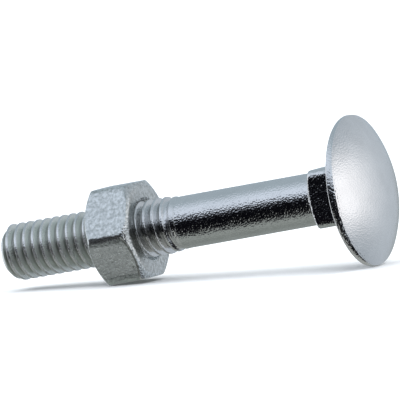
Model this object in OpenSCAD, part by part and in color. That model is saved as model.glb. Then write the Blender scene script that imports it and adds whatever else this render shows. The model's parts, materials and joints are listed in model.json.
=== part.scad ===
// A cup-head square-neck bolt with its hexagon nut, lying on a flat surface as it comes
// to rest: on the lowest point of the head's rim and on the outer edge of the nut's lower flat.
// X runs from the threaded tip to the head, Z is up, and the floor is the plane z = 0.

/* [Shank] */
// Length from under the head to the tip
bolt_len = 40.8; // [36:0.2:60]
// Diameter of the plain shank between neck and thread
shank_d = 5.45; // [5.3:0.05:5.8]

/* [Head] */
// Diameter of the head
head_d = 15.8; // [14.5:0.1:17]
// Height of the head from its bearing face to the top of the dome
head_h = 2.8; // [2.6:0.05:4]
// Width of the chamfer round the dome's edge, measured across the head
edge_w = 0.6; // [0.3:0.05:0.9]
// Height of that chamfer
edge_h = 0.45; // [0.25:0.05:0.8]
// Height of the thin rim below the chamfer
rim_h = 0.3; // [0.3:0.05:0.7]
// Rounding of the rim's lower edge
rim_round = 0.2; // [0.1:0.05:0.25]

/* [Square neck] */
// Width of the neck across its flats
neck_w = 5.9; // [5.9:0.05:6.6]
// Length of the neck under the head
neck_len = 4.3; // [3:0.1:4.6]
// Rounding of the neck's long edges
neck_round = 0.5; // [0.3:0.05:0.8]
// How far the neck's corners are cut back where they end above the shank
neck_cut = 0.3; // [0.15:0.05:0.4]
// Width left between that cut and the neck's flats, on its end face
neck_lip = 0.1; // [0.05:0.01:0.15]

/* [Thread] */
// Outside diameter of the thread
thread_d = 5.96; // [5.9:0.01:6]
// Distance from one thread crest to the next
pitch = 1; // [0.8:0.05:1.2]
// Threaded length from the tip, with its runout
thread_len = 20.5; // [17:0.1:24]
// Length over which the thread fades into the plain shank
runout_len = 2; // [1:0.1:3]
// Diameter of the flat end face inside the tip's chamfer
tip_d = 4.35; // [4:0.05:4.6]
// Angle at which the ridge starts at the tip
thread_start = 35; // [-180:1:180]
// Facets in one turn of the ridge
turn_facets = 22; // [20:2:36]

/* [Nut] */
// Width of the nut across its flats
nut_w = 9.95; // [9.7:0.05:10.5]
// Height of the nut
nut_h = 5.2; // [4.4:0.1:6]
// Gap between the head's bearing face and the nut
nut_gap = 24.5; // [22.5:0.1:28]
// Diameter inside the chamfer on each end of the nut
nut_face_d = 9.2; // [8.8:0.05:9.9]
// Angle at which that chamfer leaves the end face
nut_chamfer_angle = 30; // [20:1:35]
// Widest diameter of the countersink at each end of the bore
nut_sink_d = 6.7; // [6.4:0.05:7]
// Clearance between the thread's crests and the nut's bore, all round
nut_clear = 0.05; // [0.02:0.01:0.1]

/* [Hidden] */
round_facets = 96;
skin = 0.01;

steel = "lightsteelblue";
steel_dull = "silver";

// The dome is the cap of a ball that meets the top of the edge's chamfer.
head_r = head_d / 2;
dome_foot_r = head_r - edge_w;
dome_h = head_h - rim_h - edge_h;
dome_r = (dome_foot_r * dome_foot_r + dome_h * dome_h) / (2 * dome_h);

// The neck's corners are cut by a ball that meets its end face inside the lip.
neck_r = neck_w / 2;
neck_corner_r = (neck_r - neck_round) * sqrt(2) + neck_round;
neck_end_r = neck_r - neck_lip;
neck_ball_up = ((neck_corner_r * neck_corner_r - neck_end_r * neck_end_r) / neck_cut + neck_cut) / 2;

// A rolled thread: the flanks meet at 60 degrees, the crest is an eighth of the pitch wide,
// and the ridge is as high over its root as the metal that the groove gave up allows.
shank_r = shank_d / 2;
crest_r = thread_d / 2;
thread_depth = 0.6134 * pitch;
root_r = crest_r - thread_depth;
flank_w = thread_depth * tan(30);
crest_w = pitch / 8;
ridge_w = 2 * flank_w + crest_w;
tip_r = tip_d / 2;
tip_z = -bolt_len;
thread_top_z = tip_z + thread_len;
ridge_lead = 0.05 * pitch;
ridge_steps = floor((thread_len - 2 * ridge_lead - ridge_w) / pitch * turn_facets);

// Nut
nut_top_z = -nut_gap;
nut_low_z = nut_top_z - nut_h;
nut_r = nut_w / 2;
nut_corner_r = nut_r / cos(30);
bore_r = crest_r + nut_clear;
sink_r = nut_sink_d / 2;

// The nut's chamfers are cut by a ball at each end, which meets the end face at its angle.
ball_r = nut_face_d / 2 / sin(nut_chamfer_angle);
ball_depth = ball_r * cos(nut_chamfer_angle);

// The rest pose: how far the axis rises, so that rim and nut touch the floor together.
// The nut touches where its lower flat runs out into the chamfer of its outer end.
nut_foot_z = nut_low_z + ball_depth - sqrt(ball_r * ball_r - nut_r * nut_r);
rest_run = rim_round - nut_foot_z;
rest_rise = head_r - rim_round - nut_r;
lie_angle = atan2(rest_rise, rest_run) + asin(rim_round / norm([rest_run, rest_rise]));
axis_height = (head_r - rim_round) * cos(lie_angle) + rim_round - rim_round * sin(lie_angle);

// The middle of the whole along X, between the dome's foremost point and the tip's edge.
ahead_x = (head_h - dome_r) * cos(lie_angle) + dome_r;
behind_x = tip_z * cos(lie_angle) - tip_r * sin(lie_angle);
mid_x = (ahead_x + behind_x) / 2;

// Carries a shape from the bolt's own frame, with its axis on Z and the head up, to the floor.
module lie_down() {
    translate([-mid_x, 0, axis_height]) rotate([0, 90 - lie_angle, 0]) children();
}

module head_profile() {
    intersection() {
        translate([0, head_h - dome_r]) circle(r = dome_r, $fn = 2 * round_facets);
        translate([0, rim_h + edge_h]) square([head_r, head_h]);
    }
    polygon([[0, rim_h], [head_r, rim_h], [dome_foot_r, rim_h + edge_h], [0, rim_h + edge_h]]);
    square([head_r - rim_round, rim_h]);
    translate([0, rim_round]) square([head_r, rim_h - rim_round]);
    translate([head_r - rim_round, rim_round]) circle(r = rim_round, $fn = round_facets);
}

module head() {
    rotate_extrude($fn = 2 * round_facets) intersection() {
        head_profile();
        square([head_r, head_h]);
    }
}

module rounded_square(side, corner) {
    square([side, side - 2 * corner], center = true);
    square([side - 2 * corner, side], center = true);
    for (x = [-1, 1], y = [-1, 1])
        translate([x, y] * (side / 2 - corner)) circle(r = corner, $fn = round_facets);
}

module neck() {
    intersection() {
        translate([0, 0, -neck_len]) linear_extrude(neck_len + rim_h / 2)
            rounded_square(neck_w, neck_round);
        translate([0, 0, neck_ball_up - neck_len])
            sphere(r = norm([neck_ball_up, neck_end_r]), $fn = 2 * round_facets);
    }
}

// How much of the thread is left at height z: all of it up to the runout, nearly none at its end.
function thread_share(z) = max(0.04, min(1, (thread_top_z - z) / runout_len));

// A radius of the thread at height z, faded towards the plain shank and cut by the tip's cone.
function thread_r(r, z) =
    min(shank_r + (r - shank_r) * thread_share(z), tip_r + z - tip_z);

function on_axis(r, angle, z) = [r * cos(angle), r * sin(angle), z];

// The ridge rises out of the root over its first third of a turn.
function ridge_r(step, z) =
    let (rise = max(0.1, min(1, 3 * step / turn_facets)))
    thread_r(root_r, z) + (thread_r(crest_r, z) - thread_r(root_r, z)) * rise;

function ridge_point(step, corner) =
    let (angle = thread_start + 360 * step / turn_facets,
        foot = tip_z + ridge_lead + pitch * step / turn_facets,
        rise = [flank_w, crest_w, flank_w],
        z = foot + [0, rise[0], rise[0] + rise[1], ridge_w][corner])
    on_axis(corner % len(rise) == 0 ? thread_r(root_r, z) : ridge_r(step, z), angle, z);

// One closed solid: a four-cornered ridge wound up the helix, the root between its turns,
// and a flat ring at each end.
module threaded_end() {
    n = turn_facets;
    last = ridge_steps;
    head_foot = 3;
    corners = head_foot + 1;
    rings = corners * (last + 1);
    points = [
        for (step = [0 : last], corner = [0 : head_foot]) ridge_point(step, corner),
        for (step = [0 : n - 1]) on_axis(tip_r, thread_start + 360 * step / n, tip_z),
        for (step = [0 : n - 1])
            on_axis(thread_r(crest_r, thread_top_z), thread_start + 360 * (last + step) / n,
                thread_top_z)
    ];
    function at(step, corner) = corners * step + corner;
    function low(step) = rings + step % n;
    function high(step) = rings + n + step % n;
    function quad(a, b, c, d) = [[a, b, c], [a, c, d]];
    faces = [
        for (step = [0 : last - 1], corner = [0 : head_foot - 1])
            each quad(at(step, corner), at(step, corner + 1), at(step + 1, corner + 1),
                at(step + 1, corner)),
        for (step = [0 : last - n - 1])
            each quad(at(step, head_foot), at(step + n, 0), at(step + n + 1, 0),
                at(step + 1, head_foot)),
        for (step = [0 : n - 2])
            each quad(low(step), at(step, 0), at(step + 1, 0), low(step + 1)),
        [low(n - 1), at(n - 1, 0), at(n, 0)],
        [low(n - 1), at(n, 0), at(0, head_foot)],
        [low(n - 1), at(0, head_foot), at(0, 0)],
        [low(n - 1), at(0, 0), low(0)],
        [for (corner = [0, head_foot, head_foot - 1, 1]) at(0, corner)],
        for (step = [1 : n - 1])
            each quad(at(last - n + step, head_foot), high(step), high(step + 1),
                at(last - n + step + 1, head_foot)),
        [at(last - n + 1, head_foot), at(last - n, head_foot), at(last, 0)],
        [at(last - n + 1, head_foot), at(last, 0), at(last, head_foot)],
        [at(last - n + 1, head_foot), at(last, head_foot), high(0)],
        [at(last - n + 1, head_foot), high(0), high(1)],
        [for (corner = [0 : head_foot]) at(last, corner)],
        [for (step = [0 : n - 1]) low(step)],
        [for (step = [n - 1 : -1 : 0]) high(step)]
    ];
    polyhedron(points = points, faces = faces, convexity = 10);
}

module bolt() {
    color(steel) lie_down() union() {
        head();
        neck();
        translate([0, 0, thread_top_z])
            cylinder(r = shank_r, h = -neck_len / 2 - thread_top_z, $fn = round_facets);
        threaded_end();
    }
}

module nut_envelope() {
    intersection() {
        translate([0, 0, nut_h - ball_depth]) sphere(r = ball_r, $fn = 2 * round_facets);
        translate([0, 0, ball_depth]) sphere(r = ball_r, $fn = 2 * round_facets);
    }
}

module nut_bore() {
    sink_h = sink_r - bore_r;
    translate([0, 0, -1]) cylinder(r = bore_r, h = nut_h + 2, $fn = round_facets);
    for (end = [0, 1])
        translate([0, 0, end * nut_h]) mirror([0, 0, end])
            translate([0, 0, -skin])
                cylinder(r1 = sink_r + skin, r2 = bore_r, h = sink_h + skin,
                    $fn = round_facets);
}

module nut() {
    color(steel_dull) lie_down() translate([0, 0, nut_low_z]) difference() {
        intersection() {
            rotate([0, 0, 30]) cylinder(r = nut_corner_r, h = nut_h, $fn = 6);
            nut_envelope();
        }
        nut_bore();
    }
}

bolt();
nut();
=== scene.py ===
# %% [markdown]
# A carriage bolt and its nut, dressed for a studio picture.
#
# The real thing is a small steel bolt with a low domed head, a square neck that stops it
# from turning in timber, a plain shank and a rolled thread with a hexagon nut on it. All of
# it is zinc plated, so nearly everything that the eye reads is a reflection. That is why
# this lesson spends its effort on three things: true curved surfaces, a fine grain on them,
# and a room of light and dark for them to mirror.
#
# The solid model comes in first as a fixed frame. Every size below is read from it where it
# can be, so the dressed pieces sit exactly where the solids are.

# %% Load the solid model as the frame
import json
import math

import bpy
import numpy as np
from mathutils import Matrix, Vector


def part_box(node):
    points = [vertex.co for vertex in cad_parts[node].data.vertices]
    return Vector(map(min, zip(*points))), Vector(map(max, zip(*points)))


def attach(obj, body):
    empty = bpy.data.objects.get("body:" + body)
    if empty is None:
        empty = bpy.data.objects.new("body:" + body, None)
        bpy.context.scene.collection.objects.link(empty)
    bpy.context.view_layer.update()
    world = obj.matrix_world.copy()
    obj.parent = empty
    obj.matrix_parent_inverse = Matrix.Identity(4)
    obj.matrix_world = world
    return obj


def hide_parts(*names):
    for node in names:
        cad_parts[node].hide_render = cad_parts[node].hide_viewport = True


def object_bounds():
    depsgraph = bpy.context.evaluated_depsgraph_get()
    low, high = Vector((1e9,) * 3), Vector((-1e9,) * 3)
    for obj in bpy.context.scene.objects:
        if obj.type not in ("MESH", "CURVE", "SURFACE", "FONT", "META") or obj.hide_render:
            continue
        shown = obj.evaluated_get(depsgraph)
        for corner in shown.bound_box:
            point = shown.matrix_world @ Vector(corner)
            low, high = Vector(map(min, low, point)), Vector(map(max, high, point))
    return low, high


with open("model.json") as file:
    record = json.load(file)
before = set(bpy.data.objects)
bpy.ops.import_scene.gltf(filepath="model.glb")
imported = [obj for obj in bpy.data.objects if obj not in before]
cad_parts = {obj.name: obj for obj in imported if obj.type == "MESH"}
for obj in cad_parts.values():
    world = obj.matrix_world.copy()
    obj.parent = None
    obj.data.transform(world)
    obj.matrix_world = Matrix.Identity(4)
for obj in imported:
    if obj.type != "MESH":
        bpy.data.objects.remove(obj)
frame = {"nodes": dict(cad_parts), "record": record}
solid_low, solid_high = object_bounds()
mounts = {mount["name"]: mount for mount in frame["record"]["mounts"]}
print("nodes:", sorted(frame["nodes"]), "mounts:", sorted(mounts))

# %% [markdown]
# A bolt is easiest to think about standing on its own axis: height along the axis, and a
# radius at each angle round it. The solid lies on the floor, tipped up by its head, so the
# work is done in the bolt's own frame, in millimetres, and one matrix lays the result down.
#
# The alternative is to model lying down in metres, where every number is small and slanted.
# One matrix at the end is shorter and harder to get wrong.

# %% The bolt's own frame
MM = 0.001
seat_point = Vector(mounts["head_seat"]["pos_m"])
along = Vector(mounts["nut_seat"]["axis"]).normalized()
downward = Vector(mounts["nut_flat_lower"]["axis"]).normalized()
sideways = along.cross(downward)


def place_of(mount_name):
    """Height of a mount along the bolt's axis, counted from under the head, in millimetres."""
    return (Vector(mounts[mount_name]["pos_m"]) - seat_point).dot(along) / MM


def gap_between(first, second):
    """Distance between two mounts, in millimetres."""
    return (Vector(mounts[first]["pos_m"]) - Vector(mounts[second]["pos_m"])).length / MM


lay_down = Matrix((
    (downward.x, sideways.x, along.x, seat_point.x),
    (downward.y, sideways.y, along.y, seat_point.y),
    (downward.z, sideways.z, along.z, seat_point.z),
    (0, 0, 0, 1),
)) @ Matrix.Diagonal((MM, MM, MM, 1))
print("the axis rises by %.2f degrees" % math.degrees(math.asin(along.z)))

# %% [markdown]
# The sizes come from the mounts, the places where the solid says other things may be joined
# to it: the seat under the head, the shank, the flats of the nut. Typing the numbers again
# would work today and drift apart at the first change to the solid.

# %% Sizes taken from the frame
tip_z = place_of("thread_end")
shank_r = mounts["shank"]["dims"]["r_mm"]
thread_top = place_of("shank") - mounts["shank"]["dims"]["length_mm"] / 2
neck_low = place_of("shank") + mounts["shank"]["dims"]["length_mm"] / 2
neck_half = gap_between("neck_side_front", "neck_side_back") / 2
nut_half = gap_between("nut_flat_upper", "nut_flat_lower") / 2
nut_top = place_of("nut_seat")
nut_low = 2 * place_of("nut_flat_upper") - nut_top
bolt_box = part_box("bolt")
head_r = (bolt_box[1].y - bolt_box[0].y) / 2 / MM
print("length %.2f, head radius %.2f, nut %.2f to %.2f" % (-tip_z, head_r, nut_top, nut_low))

# %% [markdown]
# The camera comes first, because everything after it is judged through it. The picture is a
# close product shot from far away with a long lens, so lines along the bolt stay parallel.
# Three angles tie it to the bolt: how far the head is turned towards the camera, how far
# above the bolt's side the camera stands, and how steeply the axis climbs in the picture.

# %% Directions seen by the lens
HEAD_TURN = math.radians(25.9)
CAMERA_LIFT = math.radians(2.0)
AXIS_CLIMB = math.radians(10.21)

front = -sideways if sideways.y > 0 else sideways
above = -downward
to_camera = along * math.sin(HEAD_TURN) + math.cos(HEAD_TURN) * (
    front * math.cos(CAMERA_LIFT) + above * math.sin(CAMERA_LIFT)
)
axis_seen = (along - to_camera * along.dot(to_camera)).normalized()
across_seen = to_camera.cross(axis_seen)
picture_right = math.cos(AXIS_CLIMB) * axis_seen - math.sin(AXIS_CLIMB) * across_seen
picture_up = math.sin(AXIS_CLIMB) * axis_seen + math.cos(AXIS_CLIMB) * across_seen
print("the lens looks down by %.1f degrees" % math.degrees(math.asin(to_camera.z)))

# %% [markdown]
# One point and one scale place the picture. The middle of the head's underside is pinned to
# the pixel where the real one is seen, and the distance follows from the lens and from how
# many pixels a millimetre takes up. Dragging a camera about by eye never settles both.

# %% Camera
PICTURE_SIDE = 400
PIXELS_PER_MM = 9.68
SEAT_PIXEL = (359.4, 190.8)
LENS = 1500
SENSOR = 36

pixel = MM / PIXELS_PER_MM
distance = PICTURE_SIDE * pixel * LENS / SENSOR
depth_of_seat = (seat_point - (solid_low + solid_high) / 2).dot(to_camera)
middle = (
    seat_point
    - to_camera * depth_of_seat
    - picture_right * ((SEAT_PIXEL[0] - PICTURE_SIDE / 2) * pixel)
    + picture_up * ((SEAT_PIXEL[1] - PICTURE_SIDE / 2) * pixel)
)
lens_data = bpy.data.cameras.new("camera")
lens_data.lens, lens_data.sensor_width = LENS, SENSOR
lens_data.clip_start, lens_data.clip_end = 0.01, 10
camera = bpy.data.objects.new("camera", lens_data)
bpy.context.scene.collection.objects.link(camera)
camera.matrix_world = Matrix((
    (picture_right.x, picture_up.x, to_camera.x, middle.x + to_camera.x * distance),
    (picture_right.y, picture_up.y, to_camera.y, middle.y + to_camera.y * distance),
    (picture_right.z, picture_up.z, to_camera.z, middle.z + to_camera.z * distance),
    (0, 0, 0, 1),
))
bpy.context.scene.camera = camera
print("camera %.2f m away" % distance)

# %% [markdown]
# Both pieces are skins over rings. A ring is a row of points round the axis, and a skin
# joins each ring to the next with four-sided faces. Rings can be circles, rounded squares,
# rounded hexagons or slices through a thread, as long as each has the same number of points.
#
# First comes the outline of a polygon with rounded corners, as a radius at each angle. The
# points crowd together at the corners, where it bends, and spread out on the flats.

# %% Outlines
COLUMNS = 144
turn = np.arange(COLUMNS) / COLUMNS * 2 * math.pi


def crowd_towards(corners, first_corner=0.0, strength=0.82):
    """Angles round the axis that crowd together at the corners of a polygon."""
    t = turn - first_corner
    return turn - strength / corners * np.sin(corners * t)


def rounded_polygon(angles, sides, half_width, rounding, first_corner=0.0):
    """Radius at each angle of a regular polygon with rounded corners."""
    wedge = math.pi / sides
    off = np.mod(angles - first_corner + wedge, 2 * wedge) - wedge
    off = np.abs(off)
    centre = (half_width - rounding) / math.cos(wedge)
    limit = math.atan2(rounding * math.sin(wedge), centre + rounding * math.cos(wedge))
    flat = half_width / np.cos(wedge - off)
    arc = centre * np.cos(off) + np.sqrt(
        np.maximum(rounding ** 2 - (centre * np.sin(off)) ** 2, 0))
    return np.where(off < limit, arc, flat)


print("points in each ring:", COLUMNS)

# %% [markdown]
# One helper turns rings into a closed surface, so the whole bolt can be a single skin.
# Joining a revolved head, an extruded neck and a swept thread with booleans would leave long
# thin faces at every seam.
#
# Numbers stored at the points, such as how deep they lie in the thread, go in with the skin.
# A modifier then weighs the normals by the size of the faces, which keeps flat faces flat.

# %% Rings and skins


def ring(radius, height, angles=turn):
    """One ring of points: radius and height may be numbers or one value for each column."""
    radius, height = np.broadcast_to(radius, angles.shape), np.broadcast_to(height, angles.shape)
    return np.stack([radius * np.cos(angles), radius * np.sin(angles), height], axis=1)


def skin(name, rings, closed_loop=False, values=None):
    """A mesh over rings that run from the head to the tip. closed_loop joins the last to the first."""
    rings = np.array(rings)
    rows, columns = rings.shape[:2]
    points = rings.reshape(-1, 3)
    here = np.arange(rows * columns).reshape(rows, columns)
    upper = here if closed_loop else here[:-1]
    lower = np.roll(here, -1, axis=0) if closed_loop else here[1:]
    quads = np.stack([upper, lower, np.roll(lower, -1, axis=1), np.roll(upper, -1, axis=1)], -1)
    faces = quads.reshape(-1, 4).tolist()
    if not closed_loop:
        first, last = len(points), len(points) + 1
        points = np.vstack([points, rings[0].mean(axis=0), rings[-1].mean(axis=0)])
        ends = np.roll(here, -1, axis=1)
        faces += [[first, int(a), int(b)] for a, b in zip(here[0], ends[0])]
        faces += [[last, int(b), int(a)] for a, b in zip(here[-1], ends[-1])]
    mesh = bpy.data.meshes.new(name)
    mesh.from_pydata((points @ np.array(lay_down.to_3x3()).T + np.array(lay_down.translation)).tolist(),
                     [], faces)
    mesh.update()
    for key, rows_of_values in (values or {}).items():
        flat = np.zeros(len(points), np.float32)
        flat[:rows * columns] = np.broadcast_to(rows_of_values, (rows, columns)).reshape(-1)
        mesh.attributes.new(key, "FLOAT", "POINT").data.foreach_set("value", flat)
    mesh.shade_smooth()
    piece = bpy.data.objects.new(name, mesh)
    bpy.context.scene.collection.objects.link(piece)
    weigh = piece.modifiers.new("flat faces stay flat", "WEIGHTED_NORMAL")
    weigh.weight, weigh.keep_sharp = 60, False
    print("%s: %d points, %d faces" % (name, len(points), len(faces)))
    return piece


def arc(centre, radius, start, end, steps):
    """Points (radius from the axis, height) along an arc, with its angles in degrees."""
    return [
        (centre[0] + radius * math.cos(a), centre[1] + radius * math.sin(a))
        for a in np.radians(np.linspace(start, end, steps))
    ]


print("an arc of four points:", np.round(arc((0, 0), 1, 0, 90, 4), 2).tolist())

# %% [markdown]
# The thread is a rolled one: hardened dies press the root in and push the crest out, which
# is why it stands prouder than the shank. In a slice through the axis the flanks meet at 60
# degrees, the root is rounded, and the crest has a faint groove where the metal of the two
# flanks closed over it. That groove is what makes each crest catch the light twice.
#
# Here the thread is a rule for the radius at each angle and height. Sweeping a profile along
# a helix gives crisper edges, but its ends need patching where it meets the shank and tip.

# %% A rule for the thread
PITCH = 1.0
CREST_R = 2.98
THREAD_DEPTH = 0.6134 * PITCH
TIP_R = 2.175
RUNOUT = 2.0
CREST_PHASE = 0.57
PROFILE_AT = np.array([0, 0.04, 0.085, 0.11, 0.40, 0.43, 0.46, 0.5]) * PITCH
PROFILE_DROP = np.array([0.025, 0.0, 0.0, 0.016, 0.575, 0.605, 0.613, 0.6134]) * PITCH


def thread_drop(angles, height):
    """How far the rolled surface lies under the crest's radius."""
    travelled = height / PITCH - angles / (2 * math.pi) - CREST_PHASE
    off = np.abs(travelled - np.round(travelled)) * PITCH
    return np.interp(off, PROFILE_AT, PROFILE_DROP)


def thread_radius(angles, height):
    """Radius of the bolt's surface anywhere between the tip and the end of the runout."""
    share = np.clip((thread_top - height) / RUNOUT, 0, 1)
    rolled = CREST_R - thread_drop(angles, height)
    radius = shank_r + (rolled - shank_r) * share
    return np.minimum(radius, TIP_R + height - tip_z)


print("thread: %.2f mm deep, fading over %.1f mm" % (THREAD_DEPTH, RUNOUT))

# %% [markdown]
# The head, from the top of its dome down to the seat. The dome is part of a ball. A forged
# head is never quite even: metal pressed out between the dies leaves a band round the edge,
# wide on one side and nearly gone on the other, and here the wide side faces the lens.
#
# So the edge of the dome moves inwards by an amount that depends on the angle, and a gently
# bent strip joins it to the rim. A bevel modifier would make the same width all round, and
# the dark sickle under the edge of the dome, which the strip mirrors, would be lost.

# %% Rings of the head
HEAD_TOP = 2.8
DOME_R = 14.04
RIM_ROUND = 0.14
FLASH_WIDE = 0.45
FLASH_THIN = 0.03
FLASH_TURN = math.radians(-8)
FLASH_FADE = 1.4
BEND_AT = 0.6
BEND_ANGLE = math.radians(42)
front_turn = math.atan2(front.dot(sideways), front.dot(downward))
above_side = 1 if above.dot(-downward) * front.dot(sideways) > 0 else -1


def dome_z(radius):
    """Height of the dome's ball at a radius."""
    return HEAD_TOP - DOME_R + np.sqrt(DOME_R ** 2 - radius ** 2)


lean = np.cos(turn - front_turn - above_side * FLASH_TURN)
flash = FLASH_THIN + FLASH_WIDE * np.maximum(lean, 0) ** FLASH_FADE
edge_r = head_r - flash
edge_z = dome_z(edge_r)
head_rings = [ring(edge_r * share, dome_z(edge_r * share)) for share in np.linspace(0.01, 0.993, 42)]
head_rings += [ring(edge_r * 0.997, dome_z(edge_r * 0.997) - 0.004)]
dome_rows = len(head_rings)
foot_r, foot_z = head_r - 0.015, RIM_ROUND + 0.02
bend_r = edge_r + BEND_AT * flash
bend_z = edge_z - BEND_AT * flash * math.tan(BEND_ANGLE)
for t in (0.0, 0.06, 0.25, 0.4, 0.55, 0.7, 0.85, 1.0):
    r = (1 - t) ** 2 * edge_r + 2 * t * (1 - t) * bend_r + t ** 2 * foot_r
    z = (1 - t) ** 2 * edge_z + 2 * t * (1 - t) * bend_z + t ** 2 * foot_z
    head_rings.append(ring(r, z))
head_rings += [
    ring(r, z) for r, z in arc((head_r - RIM_ROUND, RIM_ROUND), RIM_ROUND, -5, -90, 7)
]
head_rings += [ring(head_r - 1.2, 0.0), ring(head_r - 2.6, 0.0)]
print("band round the head: %.2f to %.2f mm wide" % (flash.min(), flash.max()))

# %% [markdown]
# The neck is square, to bite into timber, and it is pressed out of the round shank, so its
# corners are well rounded and its lower end fades into the shank: the four corners end
# sooner than the middle of each side. A ball that cuts the end gives exactly that line.
# The real neck is also a little fuller than its standard size, which the swell stands for.

# %% Rings of the square neck
NECK_ROUND = 0.78
NECK_SWELL = 0.1
NECK_FILLET = 0.12
NECK_EDGE = 0.2
NECK_REACH = 0.25
NECK_CUT = 0.3
NECK_LIP = 0.1
neck_angles = crowd_towards(4, math.pi / 4)
neck_side = neck_half + NECK_SWELL
neck_outline = rounded_polygon(neck_angles, 4, neck_side, NECK_ROUND, math.pi / 4)
neck_corner_r = neck_outline.max()
neck_end_r = neck_side - NECK_LIP
neck_ball_up = ((neck_corner_r ** 2 - neck_end_r ** 2) / NECK_CUT + NECK_CUT) / 2


def neck_ring(grow, height):
    """A ring of the neck, grown or shrunk by so many millimetres."""
    rounding = NECK_ROUND + grow
    radius = rounded_polygon(neck_angles, 4, neck_side + grow, rounding, math.pi / 4)
    return ring(radius, height, neck_angles)


def neck_cut_z(radius):
    """Height at which the ball that cuts the neck's corners meets a radius."""
    ball_r = math.hypot(neck_ball_up, neck_end_r)
    return neck_low - NECK_REACH + neck_ball_up - np.sqrt(ball_r ** 2 - radius ** 2)


neck_rings = [neck_ring(0.5, 0.0)]
neck_rings += [
    neck_ring(NECK_FILLET * (1 - math.sin(a)), -NECK_FILLET * (1 - math.cos(a)))
    for a in np.radians([0, 22, 45, 68, 90])
]
neck_rings += [neck_ring(0, z) for z in np.linspace(-0.6, neck_low + 0.7, 8)]
neck_foot_z = neck_cut_z(neck_outline)
neck_rings += [neck_ring(0, neck_foot_z + NECK_EDGE + 0.03)]
for a in np.radians([0, 22, 45, 68, 90]):
    inward = neck_outline - NECK_EDGE * (1 - math.cos(a))
    neck_rings.append(ring(inward, neck_foot_z + NECK_EDGE * (1 - math.sin(a)), neck_angles))
for share in (0.9, 0.5, 0.0):
    inward = neck_side - NECK_EDGE + (neck_outline - neck_side) * share
    neck_rings.append(ring(inward, np.minimum(neck_foot_z, neck_cut_z(inward)), neck_angles))
neck_rings += [ring(shank_r + 0.03, neck_low - NECK_REACH), ring(shank_r, neck_low - NECK_REACH - 0.04)]
print("neck %.2f mm wide, %.2f mm over its corners" % (2 * neck_side, 2 * neck_corner_r))

# %% [markdown]
# Below the neck comes the drawn shank, then the thread. The shank needs few rings, since it
# is straight. The thread needs many, because its crest is only a fifth of a millimetre wide.
# Spending the rings where the shape changes keeps the whole piece light.

# %% Rings of the shank, the thread and the tip
ROWS_PER_PITCH = 27
shank_rings = [ring(shank_r, z) for z in np.linspace(neck_low - 0.5, thread_top, 30)]
thread_heights = np.arange(thread_top, tip_z + 0.02, -PITCH / ROWS_PER_PITCH)[1:]
thread_rings = [ring(thread_radius(turn, z), z) for z in thread_heights]
tip_rings = [ring(TIP_R, tip_z + 0.015)]
tip_rings += [ring(TIP_R - 0.03, tip_z), ring(TIP_R * 0.6, tip_z), ring(TIP_R * 0.2, tip_z)]
print("rings: shank", len(shank_rings), "thread", len(thread_rings), "tip", len(tip_rings))

# %% [markdown]
# All the rings become one closed surface. Two numbers are stored at every point for the
# finish to read later. Depth says how far down a thread groove the point lies, and the
# finish paints shade into the deepest part of each groove. Satin says how dull it is: the
# drawn shank is bright, the dome a little softer, and the thread beyond the nut has gone
# grey with handling, apart from its crests, which rubbing keeps bright. An image texture
# could hold the same, but it would have to be unwrapped and painted.

# %% The bolt in one skin
BAND_SATIN, DOME_SATIN, SHANK_SATIN = 0.12, 0.25, 0.0
CREST, FRESH, WORN = 0.15, 0.6, 1.0
CREST_DEPTH = 0.15
nut_middle = (nut_top + nut_low) / 2
bolt_rings = head_rings + neck_rings + shank_rings + thread_rings + tip_rings
first_thread = len(bolt_rings) - len(tip_rings) - len(thread_rings)
depth = np.zeros((len(bolt_rings), COLUMNS), np.float32)
# how deep each point lies in its thread groove; the finish paints shade into the deepest part
for row, z in enumerate(thread_heights):
    fade = np.clip((thread_top - z) / RUNOUT, 0, 1)
    depth[first_thread + row] = thread_drop(turn, z) / THREAD_DEPTH * fade
satin = np.full((len(bolt_rings), COLUMNS), SHANK_SATIN, np.float32)
satin[:len(head_rings)] = BAND_SATIN
satin[:dome_rows] = DOME_SATIN
heights = np.array([points[0, 2] for points in bolt_rings[first_thread:]])
grey = np.where(heights > nut_middle, FRESH, WORN)[:, None]
satin[first_thread:] = CREST + (grey - CREST) * np.clip(depth[first_thread:] / CREST_DEPTH, 0, 1)
bolt_piece = skin("bolt_plated", bolt_rings, values={"depth": depth, "satin": satin})

# %% [markdown]
# The nut is pressed from bar and chamfered at both ends as if by a hollow ball, and where
# that ball meets the six flats it leaves the curved edges that make a nut look like a nut.
# Those edges are rings too: at each angle the flat's radius says how far down the chamfer
# reaches. Cutting a hexagon with a real ball would take a boolean and a bevel after it.

# %% Outline of the nut
NUT_ROUND = 0.75
NUT_FACE_R = 4.6
NUT_BALL_R = NUT_FACE_R / math.sin(math.radians(30))
EDGE = 0.14
nut_angles = crowd_towards(6, math.pi / 6)
nut_outline = rounded_polygon(nut_angles, 6, nut_half, NUT_ROUND, math.pi / 6)


def ball_drop(radius):
    """How far the chamfer's ball lies under the end face at a radius."""
    return math.sqrt(NUT_BALL_R ** 2 - NUT_FACE_R ** 2) - np.sqrt(NUT_BALL_R ** 2 - radius ** 2)


outer = [(NUT_FACE_R - 0.5, nut_top), (NUT_FACE_R - EDGE, nut_top)]
for share in (0.12, 0.4, 0.7, 0.9):
    between = NUT_FACE_R + (nut_outline - NUT_FACE_R) * share
    outer.append((between, nut_top - ball_drop(between)))
corner_drop = ball_drop(nut_outline)
outer += [
    (nut_outline - EDGE * 0.15, nut_top - corner_drop - EDGE * 0.1),
    (nut_outline, nut_top - corner_drop - EDGE),
]
print("nut %.2f mm over its corners, chamfer %.2f mm deep there" % (
    2 * nut_outline.max(), corner_drop.max()))
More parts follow.
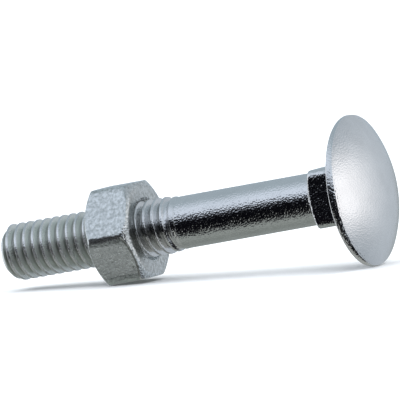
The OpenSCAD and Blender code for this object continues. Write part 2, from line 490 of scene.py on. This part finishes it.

# %% [markdown]
# The flat that looks down at the lens has a small nick near its edge. It is a dent in a few
# extra rings, one column of points wide. It stays shallow on purpose: the walls of a deeper
# dent mirror bright parts of the room, and the real nick is dark. How deep each point lies
# is kept as a share from 0 to 1, and the finish paints shade into the nick by it.

# %% The nick in the lower flat
NICK_TURN = math.radians(-43)
NICK_WIDE = 0.03
NICK_BELOW = 0.54
NICK_LONG = 0.2
NICK_DEEP = 0.07
off_nick = nut_angles - front_turn - above_side * NICK_TURN
off_nick = np.mod(off_nick + math.pi, 2 * math.pi) - math.pi
nick_shares = []
nick_rings = []
for below in (0.26, 0.36, 0.44, 0.52, 0.6, 0.68, 0.8):
    dent = np.exp(-(off_nick / NICK_WIDE) ** 2 - ((below - NICK_BELOW) / NICK_LONG) ** 2)
    nick_shares.append(dent)
    height = nut_top - corner_drop - below
    nick_rings.append(ring(nut_outline - NICK_DEEP * dent, height, nut_angles))
print("nick %.2f mm deep" % (NICK_DEEP * np.max(nick_shares)))

# %% [markdown]
# Inside, the nut has a thread of its own, a twentieth of a millimetre outside the bolt's, so
# the two never touch, and a countersink opens it at each end. The rings run down the
# outside, across the lower face, up through the bore, and the last joins the first.

# %% Rings of the nut
SINK_R = 3.35
NUT_CREST_R = 2.5
THREAD_GAP = 0.05


def nut_inner(height):
    """Radius of the nut's bore: its own thread, opened by the countersink at each end."""
    own_thread = np.maximum(NUT_CREST_R, CREST_R + THREAD_GAP - thread_drop(nut_angles, height))
    sunk = SINK_R - min(nut_top - height, height - nut_low)
    return np.maximum(own_thread, sunk)


nut_rings = [ring(r, z, nut_angles) for r, z in outer]
nut_rings += nick_rings
nut_rings += [ring(nut_outline, nut_middle, nut_angles)]
nut_rings += [ring(r, 2 * nut_middle - z, nut_angles) for r, z in reversed(outer)]
nut_rings += [ring(r, nut_low, nut_angles) for r in (SINK_R + 0.4, SINK_R + 0.04)]
inner_heights = np.arange(nut_low + 0.03, nut_top - 0.02, PITCH / ROWS_PER_PITCH)
nut_rings += [ring(nut_inner(z), z, nut_angles) for z in inner_heights]
nut_rings += [ring(r, nut_top, nut_angles) for r in (SINK_R + 0.04, SINK_R + 0.4)]
print("rings of the nut: %d, of them in the bore: %d" % (len(nut_rings), len(inner_heights)))

# %% [markdown]
# The same two numbers as on the bolt steer the nut's finish. Shade is painted onto the end
# face, darkest on the side towards the lens. The lower flat is satin, with a line of painted
# shade along its curved edge. The nick's number goes past 1, so that the shade painted into a
# dent only one point wide stays dark from side to side. Both numbers are written ring by
# ring, so the marks follow the edges exactly, which a texture laid over the nut would not.

# %% The nut in one skin
# shares of painted shade: on the nut's end face, more on its side towards the lens, and in the nick
END_FACE_SHADE, END_FACE_SHADE_NEAR = 0.81, 0.16
FLAT_SATIN = 0.78
NICK_SHADE = 1.5
lower_flat = np.cos(nut_angles - front_turn + above_side * math.radians(30))
flat_rows = slice(len(outer) - 1, len(outer) + len(nick_rings) + 2)
nick_rows = slice(len(outer), len(outer) + len(nick_rings))
nut_satin = np.zeros((len(nut_rings), COLUMNS), np.float32)
nut_satin[flat_rows] = FLAT_SATIN * np.clip((lower_flat - 0.88) / 0.06, 0, 1)
# painted shade on the end face, darkest on the side towards the lens
end_face_shade = END_FACE_SHADE + END_FACE_SHADE_NEAR * np.maximum(np.cos(nut_angles - front_turn), 0) ** 2
nut_painted_shade = np.zeros((len(nut_rings), COLUMNS), np.float32)
nut_painted_shade[:3] = end_face_shade
nut_painted_shade[-2:] = end_face_shade
# painted shade in the nick, strong enough to cover a dent one point wide
nut_painted_shade[nick_rows] = NICK_SHADE * np.array(nick_shares)
# a painted line of shade along the curved edge of the lower flat
nut_painted_shade[len(outer) - 2:len(outer)] = np.clip((lower_flat - 0.86) / 0.04, 0, 1)
nut_piece = skin("nut_plated", nut_rings, closed_loop=True,
                 values={"depth": nut_painted_shade, "satin": nut_satin})

# %% [markdown]
# Zinc plating is a bright metal with a very fine grain, like the skin of an orange. The
# grain belongs to both pieces, so it is built once as a node group that gives out a height
# and a tone, and each material places it with its own size.

# %% Shader groups for plated steel


def shader_group(name, inputs, outputs):
    """An empty shader node group with named inputs and outputs."""
    group = bpy.data.node_groups.new(name, "ShaderNodeTree")
    for label, kind, value in inputs:
        socket = group.interface.new_socket(label, in_out="INPUT", socket_type=kind)
        socket.default_value = value
    for label, kind in outputs:
        group.interface.new_socket(label, in_out="OUTPUT", socket_type=kind)
    return group, group.nodes.new("NodeGroupInput"), group.nodes.new("NodeGroupOutput")


def orange_peel_group():
    group, take, give = shader_group(
        "orange_peel",
        [("Grain per mm", "NodeSocketFloat", 5.0), ("Cloud per mm", "NodeSocketFloat", 0.4)],
        [("Height", "NodeSocketFloat"), ("Cloud", "NodeSocketFloat")],
    )
    nodes, links = group.nodes, group.links
    place = nodes.new("ShaderNodeTexCoord")
    for label, detail, output in (("Grain per mm", 0, "Height"), ("Cloud per mm", 4, "Cloud")):
        per_metre = nodes.new("ShaderNodeMath")
        per_metre.operation = "MULTIPLY"
        per_metre.inputs[1].default_value = 1000
        noise = nodes.new("ShaderNodeTexNoise")
        noise.inputs["Detail"].default_value = detail
        noise.inputs["Roughness"].default_value = 0.55
        links.new(take.outputs[label], per_metre.inputs[0])
        links.new(per_metre.outputs[0], noise.inputs["Scale"])
        links.new(place.outputs["Object"], noise.inputs["Vector"])
        links.new(noise.outputs["Fac"], give.inputs[output])
    return group


orange_peel = orange_peel_group()
print("groups:", [g.name for g in bpy.data.node_groups])

# %% [markdown]
# The finish needs the same few nodes again and again: one that maps a range onto another,
# one that lays a colour over another, one that multiplies. Giving each a short helper lets
# the material itself read like a recipe. The painted room further down uses them as well.

# %% Helpers for nodes


def mapped(tree, value, from_range, to_range):
    """Maps one range of a value onto another."""
    node = tree.nodes.new("ShaderNodeMapRange")
    node.inputs["From Min"].default_value, node.inputs["From Max"].default_value = from_range
    node.inputs["To Min"].default_value, node.inputs["To Max"].default_value = to_range
    tree.links.new(value, node.inputs["Value"])
    return node.outputs["Result"]


def mixed(tree, share, under, over):
    """Lays a colour over another by a share. Each may be a colour or the output of a node."""
    node = tree.nodes.new("ShaderNodeMix")
    node.data_type = "RGBA"
    tree.links.new(share, node.inputs["Factor"])
    for label, colour in (("A", under), ("B", over)):
        if isinstance(colour, tuple):
            node.inputs[label].default_value = (*colour, 1)
        else:
            tree.links.new(colour, node.inputs[label])
    return node.outputs["Result"]


def times(tree, first, second):
    """One value times another. For two masks it is where they overlap."""
    node = tree.nodes.new("ShaderNodeMath")
    node.operation = "MULTIPLY"
    tree.links.new(first, node.inputs[0])
    tree.links.new(second, node.inputs[1])
    return node.outputs[0]


def stored(tree, name):
    """A value that was stored at the points of the mesh."""
    node = tree.nodes.new("ShaderNodeAttribute")
    node.attribute_name = name
    return node.outputs["Fac"]


print("helpers:", [f.__name__ for f in (mapped, mixed, times, stored)])

# %% [markdown]
# The plated finish itself. The bolt and the nut differ only in tone, roughness and how
# strong the grain is, so one function makes both materials. Two values stored on the mesh
# steer it from place to place. Satin makes the metal rougher, and from 0.6 up it also turns
# it greyer and less like a mirror. Depth paints shade into the base colour: in the roots of
# the thread, on the end face of the nut, in its nick and along the edge of its lower flat.

# %% Plated steel
# colour of the painted shade in the thread roots and on the nut
PAINTED_SHADE = (0.16, 0.165, 0.15)


def plated(name, light, dark, aged, roughness, metallic, grain, cloud, distance_mm):
    """A zinc-plated steel material. Roughness and metallic are pairs: at satin 0 and at satin 1."""
    material = bpy.data.materials.new(name)
    material.use_nodes = True
    tree = material.node_tree
    tree.nodes.clear()
    out = tree.nodes.new("ShaderNodeOutputMaterial")
    metal = tree.nodes.new("ShaderNodeBsdfPrincipled")
    tree.links.new(metal.outputs[0], out.inputs["Surface"])
    peel = tree.nodes.new("ShaderNodeGroup")
    peel.node_tree = orange_peel
    peel.inputs["Grain per mm"].default_value = grain
    peel.inputs["Cloud per mm"].default_value = cloud
    clouds = peel.outputs["Cloud"]
    satin_here, painted_shade_here = stored(tree, "satin"), stored(tree, "depth")

    tone = mixed(tree, mapped(tree, clouds, (0.35, 0.65), (0, 1)), dark, light)
    tone = mixed(tree, mapped(tree, satin_here, (0.6, 1), (0, 0.75)), tone, aged)
    # painted shade: the stored depth darkens the base colour in thread roots, on the nut's end face, in
    # its nick and along its edge
    tone = mixed(tree, mapped(tree, painted_shade_here, (0.75, 1), (0, 0.75)), tone, PAINTED_SHADE)
    tree.links.new(tone, metal.inputs["Base Color"])
    tree.links.new(mapped(tree, satin_here, (0.6, 1), metallic), metal.inputs["Metallic"])
    rough = mapped(tree, satin_here, (0, 1), roughness)
    patchy = mapped(tree, clouds, (0, 1), (0.85, 1.15))
    tree.links.new(times(tree, rough, patchy), metal.inputs["Roughness"])

    relief = tree.nodes.new("ShaderNodeBump")
    relief.inputs["Distance"].default_value = distance_mm * MM
    calm = mapped(tree, satin_here, (0, 0.25), (1, 0.5))
    tree.links.new(times(tree, peel.outputs["Height"], calm), relief.inputs["Height"])
    tree.links.new(relief.outputs["Normal"], metal.inputs["Normal"])
    return material


bolt_zinc = plated(
    "bolt_zinc", light=(0.80, 0.80, 0.80), dark=(0.74, 0.74, 0.74), aged=(0.60, 0.64, 0.60),
    roughness=(0.12, 0.28), metallic=(1.0, 0.84), grain=6.0, cloud=0.4, distance_mm=0.042)
nut_zinc = plated(
    "nut_zinc", light=(0.75, 0.77, 0.77), dark=(0.44, 0.46, 0.45), aged=(0.64, 0.66, 0.62),
    roughness=(0.13, 0.3), metallic=(0.95, 0.6), grain=5.0, cloud=3.0, distance_mm=0.036)
print("materials:", bolt_zinc.name, nut_zinc.name)

# %% [markdown]
# Each skin now takes the place of its solid. It rides on the same body, so the nut's skin
# travels when the nut does, and it takes the material. The hidden solids get the material
# too, so that nothing is left bare if they are ever shown.

# %% Dressing the two pieces
for piece, material, node, body, slot in (
    (bolt_piece, bolt_zinc, "bolt", "bolt_body", "bolt_steel"),
    (nut_piece, nut_zinc, "nut", "nut_body", "nut_steel"),
):
    piece.data.materials.append(material)
    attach(piece, body)
    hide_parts(node)
    frame["nodes"][node].data.materials.clear()
    frame["nodes"][node].data.materials.append(material)
    print("%s rides on %s in place of %s" % (piece.name, body, node))

# %% [markdown]
# The floor that the bolt lies on is plain and pale. It is one large square. Polished metal
# does not see it: what the metal mirrors comes from the room further down, where its parts
# can be placed one by one.

# %% Floor
FLOOR_SIDE = 6.0
floor_mesh = bpy.data.meshes.new("floor")
half_side = FLOOR_SIDE / 2
floor_mesh.from_pydata(
    [(-half_side, -half_side, 0), (half_side, -half_side, 0),
     (half_side, half_side, 0), (-half_side, half_side, 0)], [], [(0, 1, 2, 3)])
floor = bpy.data.objects.new("floor", floor_mesh)
floor.location.z = solid_low.z - 0.00002
bpy.context.scene.collection.objects.link(floor)
floor_paint = bpy.data.materials.new("floor_paint")
floor_paint.use_nodes = True
floor_shader = floor_paint.node_tree.nodes["Principled BSDF"]
floor_shader.inputs["Base Color"].default_value = (0.9, 0.9, 0.9, 1)
floor_shader.inputs["Roughness"].default_value = 0.9
floor_shader.inputs["Specular IOR Level"].default_value = 0.1
floor_mesh.materials.append(floor_paint)
floor.visible_glossy = False
print("floor: %.1f m square" % FLOOR_SIDE)

# %% [markdown]
# One broad lamp overhead gives the soft shadow that holds the bolt down on the floor. Small
# lamps would draw hard shadows and pinpoint glints, and a product picture wants neither.

# %% Soft box overhead


def soft_box(name, direction, reach_m, size, watts, colour, aim):
    """An area light that faces the bolt from a direction."""
    data = bpy.data.lights.new(name, "AREA")
    data.shape, data.size, data.size_y = "RECTANGLE", size[0], size[1]
    data.energy, data.color = watts, colour
    lamp = bpy.data.objects.new(name, data)
    direction = Vector(direction).normalized()
    lamp.location = aim + direction * reach_m
    lamp.rotation_mode = "QUATERNION"
    lamp.rotation_quaternion = direction.to_track_quat("Z", "Y")
    lamp.visible_camera = False
    bpy.context.scene.collection.objects.link(lamp)
    return lamp


centre_of_part = (solid_low + solid_high) / 2
sky = soft_box("sky", (0.1, -0.1, 1), 0.8, (2.0, 2.0), 20.0, (1, 1, 1), centre_of_part)
sky.visible_glossy = False
print("soft box %.1f m wide, %.1f m up" % (sky.data.size, sky.location.z))

# %% [markdown]
# The room. Polished metal shows nothing of its own, only its surroundings, so the room is
# painted for its reflections. Seen along the bolt's axis it is a ring of strips: a floor of
# grey-green with a darker seam, darkness at the height of the lens, a bright box overhead
# and a grey wall behind. The shank and the flats of the nut read these strips. Each strip
# has one plain colour and blurs into the next over an edge of its own.
#
# The dome looks past the other end of the bolt, so it gets a belt of its own: a pale wall
# with one lamp straight ahead, whose light falls off to both sides like a bell. Angles are
# in degrees. The colours are written as a screen shows them. Each is one plain value,
# chosen so that the metal comes near the tones that were measured in the photograph. Lamps
# and cards would be the usual way, but each move of one changes all the others.

# %% Colours of the room
ZINC = 0.77

FLOOR, FAR_FLOOR, SEAM = (135, 141, 138), (130, 136, 134), (115, 121, 118)
DARK, BOX, WALL = (8, 8, 12), (200, 210, 223), (150, 163, 172)
LAMP, PALE_WALL, PALE_EDGE = (255, 255, 258), (170, 178, 186), (160, 168, 176)
LOW_PATCH, UNDER_HEAD, PAST_TIP = (150, 153, 151), (10, 10, 14), (225, 230, 236)

LAMP_AT, LAMP_WIDE = 70, 40
BELT_STEP = 10
EDGE_PARTS = (0, 0.3, 0.6, 0.85, 1)


def shown(colour):
    """The light that polished zinc has to mirror, to show as this colour on a screen."""
    part = (np.array(colour) / 255 + 0.055) / 1.055
    return tuple(part ** 2.4 / ZINC)


def between(first, second, share):
    """The light of a colour that lies a share of the way from one to another."""
    return shown(np.array(first) * (1 - share) + np.array(second) * share)


def soft_edge(start, end, first, second):
    """Steps that blur one strip into the next, slow at both ends of the edge."""
    return [(start + (end - start) * part, between(first, second, part * part * (3 - 2 * part)))
            for part in EDGE_PARTS]


STRIPS = [(-180, shown(FAR_FLOOR)), (-135, shown(FAR_FLOOR)), (-104, shown(SEAM)), (-84, shown(FLOOR))]
STRIPS += soft_edge(-70, -50, FLOOR, DARK)
STRIPS += soft_edge(8, 40, DARK, BOX)
STRIPS += soft_edge(54, 102, BOX, WALL)
STRIPS += [(180, shown(WALL))]

BELT = [(-180, shown(PALE_WALL))]
for angle in range(50, 181, BELT_STEP):
    glow = math.exp(-((angle - LAMP_AT) / LAMP_WIDE) ** 2)
    BELT.append((angle, between(PALE_WALL, LAMP, glow)))
print("room strips:", len(STRIPS), "belt:", len(BELT))

# %% [markdown]
# A look into the room is a direction, and everything is painted by what that direction
# does: how far it points along something, or how far round it has turned. A soft mask comes
# from either, and a ramp of colours follows a turn.

# %% Painting tools
world = bpy.data.worlds.new("room")
bpy.context.scene.world = world
world.use_nodes = True
room = world.node_tree
room.nodes.clear()
room_out = room.nodes.new("ShaderNodeOutputWorld")
background = room.nodes.new("ShaderNodeBackground")
room.links.new(background.outputs[0], room_out.inputs["Surface"])
look = room.nodes.new("ShaderNodeTexCoord")


def part_along(direction):
    """The part of a look into the room that points along a direction."""
    dot = room.nodes.new("ShaderNodeVectorMath")
    dot.operation = "DOT_PRODUCT"
    dot.inputs[1].default_value = Vector(direction).normalized()
    room.links.new(look.outputs["Generated"], dot.inputs[0])
    return dot.outputs["Value"]


def eased(value, start, full):
    """A soft mask that rises from 0 to 1 as a value goes from start to full."""
    mask = mapped(room, value, (start, full), (0, 1))
    mask.node.interpolation_type = "SMOOTHSTEP"
    return mask


def share_of_turn(degrees):
    """An angle as a share of a full turn that starts at the back."""
    return (degrees + 180) / 360


def turn_between(upward, forward):
    """How far a look has turned from forward to upward, as a share of a full turn."""
    angle = room.nodes.new("ShaderNodeMath")
    angle.operation = "ARCTAN2"
    room.links.new(part_along(upward), angle.inputs[0])
    room.links.new(part_along(forward), angle.inputs[1])
    return mapped(room, angle.outputs[0], (-math.pi, math.pi), (0, 1))


def ramp(value, stops):
    """Colours that follow one another over an angle given in degrees."""
    node = room.nodes.new("ShaderNodeValToRGB")
    room.links.new(value, node.inputs["Fac"])
    marks = node.color_ramp.elements
    while len(marks) > 1:
        marks.remove(marks[0])
    marks[0].position, marks[0].color = share_of_turn(stops[0][0]), (*stops[0][1], 1)
    for angle, colour in stops[1:]:
        marks.new(share_of_turn(angle)).color = (*colour, 1)
    return node.outputs["Color"]


print("straight ahead is at %.2f of a turn" % share_of_turn(0))

# %% [markdown]
# Now the room is painted from the back forwards, each layer over the last: the strips, a
# pale patch low down ahead, the shade below the head, the belt that the dome mirrors, and
# the bright wall past the tip. The masks are soft, as the edges of real lamps and shadows
# are when a slightly rough metal mirrors them.

# %% The room painted
wall = ramp(turn_between(above, front), STRIPS)

low_ahead = times(room, eased(part_along(along), -0.30, -0.12), eased(part_along(-above), 0.40, 0.5))
wall = mixed(room, low_ahead, wall, shown(LOW_PATCH))

towards_head = part_along(along - 0.33 * front)
under_head = times(room, eased(towards_head, 0.38, 0.45), eased(part_along(-above), 0.0, 0.12))
wall = mixed(room, under_head, wall, shown(UNDER_HEAD))

off_level = room.nodes.new("ShaderNodeMath")
off_level.operation = "ABSOLUTE"
room.links.new(part_along(above), off_level.inputs[0])
off_level = off_level.outputs[0]
round_belt = turn_between(axis_seen, to_camera)
belt = mixed(room, eased(off_level, 0.62, 0.14), shown(PALE_EDGE), ramp(round_belt, BELT))
near_end = eased(round_belt, share_of_turn(52), share_of_turn(62))
far_end = eased(round_belt, share_of_turn(180), share_of_turn(150))
on_belt = times(room, times(room, near_end, far_end), eased(off_level, 0.70, 0.62))
wall = mixed(room, on_belt, wall, belt)

wall = mixed(room, eased(part_along(-along), 0.70, 0.92), wall, shown(PAST_TIP))
room.links.new(wall, background.inputs["Color"])
print("nodes in the room:", len(room.nodes))

# %% [markdown]
# The last step is the colour handling. The plain colour transform shows the painted room as
# it was painted, where a film-like one would grey the whites.

# %% Colour handling
bpy.context.scene.view_settings.view_transform = "Standard"
